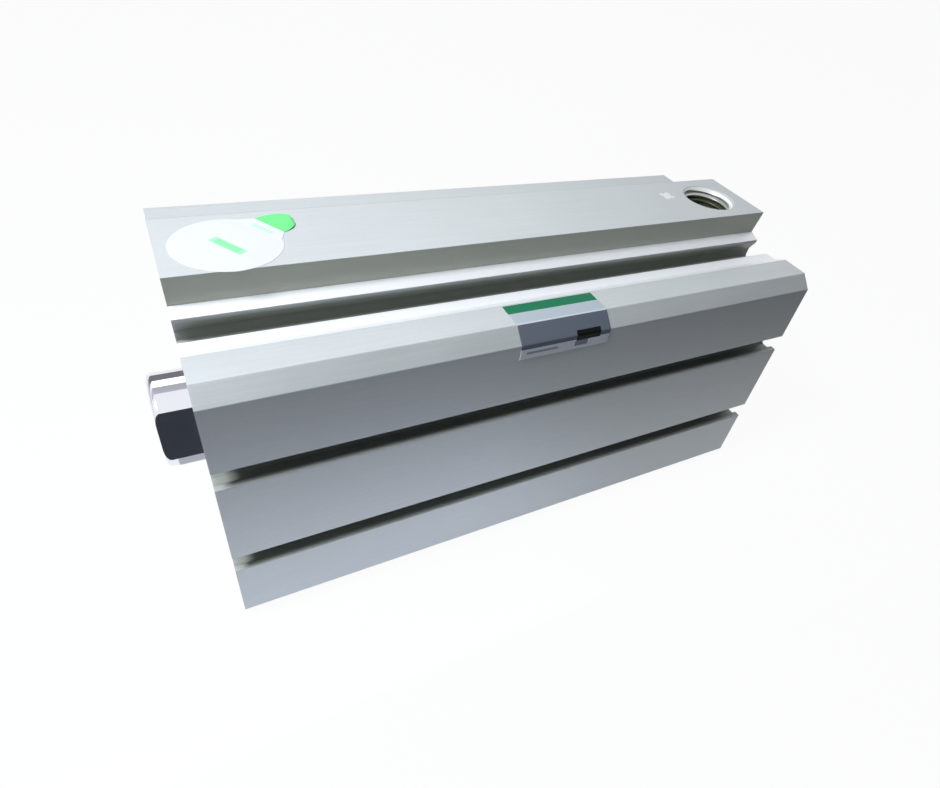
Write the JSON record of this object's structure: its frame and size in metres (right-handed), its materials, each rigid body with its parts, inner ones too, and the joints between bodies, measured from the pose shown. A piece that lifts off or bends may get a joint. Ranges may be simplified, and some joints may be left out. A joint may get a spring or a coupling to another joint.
{
  "type": "compact pneumatic cylinder",
  "caption": "Square extruded compact pneumatic cylinder with a raised port boss, switch grooves along its sides, a tapped chromed rod, and a magnetic piston inside.",
  "frame": {"origin": "on the rod's axis, in the mounting face of the rod end", "axes": "+X along the barrel from the rod end to the cap end, +Z towards the port boss, +Y across"},
  "size_m": [0.1477, 0.0641, 0.0711],
  "materials": {
    "anodised_aluminium": "satin anodised",
    "turned_aluminium": "turned",
    "nitrile_rubber": "moulded",
    "bumper_urethane": "moulded",
    "bearing_steel": "rolled",
    "spring_steel": "phosphated",
    "hard_chrome": "ground and plated",
    "plastic_magnet": "moulded",
    "wear_plastic": "moulded",
    "sticker_film": "paper-like",
    "label_film": "satin film"
  },
  "bodies": {
    "barrel": {"cylinder_body": "anodised_aluminium", "rod_cover": "turned_aluminium", "rod_cover_o_ring": "nitrile_rubber", "rod_bush": "bearing_steel", "rod_seal": "nitrile_rubber", "rod_retaining_ring": "spring_steel", "cap_cover": "turned_aluminium", "cap_cover_o_ring": "nitrile_rubber", "cap_retaining_ring": "spring_steel", "port_sticker": "sticker_film", "name_label": "label_film"},
    "piston_seals": {"piston_seal": "nitrile_rubber", "wear_ring": "wear_plastic"},
    "piston_rod": {"piston_rod": "hard_chrome", "piston_rod_side": "turned_aluminium", "piston_cap_side": "turned_aluminium", "magnet_ring": "plastic_magnet", "piston_o_ring": "nitrile_rubber", "bumper_rod_side": "bumper_urethane", "bumper_cap_side": "bumper_urethane"}
  },
  "joints": [
    {"name": "rod_slide", "type": "slide", "parent": "barrel", "child": "piston_seals", "axis": [-1, 0, 0], "range_m": [0, 0.1]},
    {"name": "rod_spin", "type": "hinge", "parent": "piston_seals", "child": "piston_rod", "pos_m": [0, 0, 0], "axis": [1, 0, 0], "continuous": true}
  ]
}
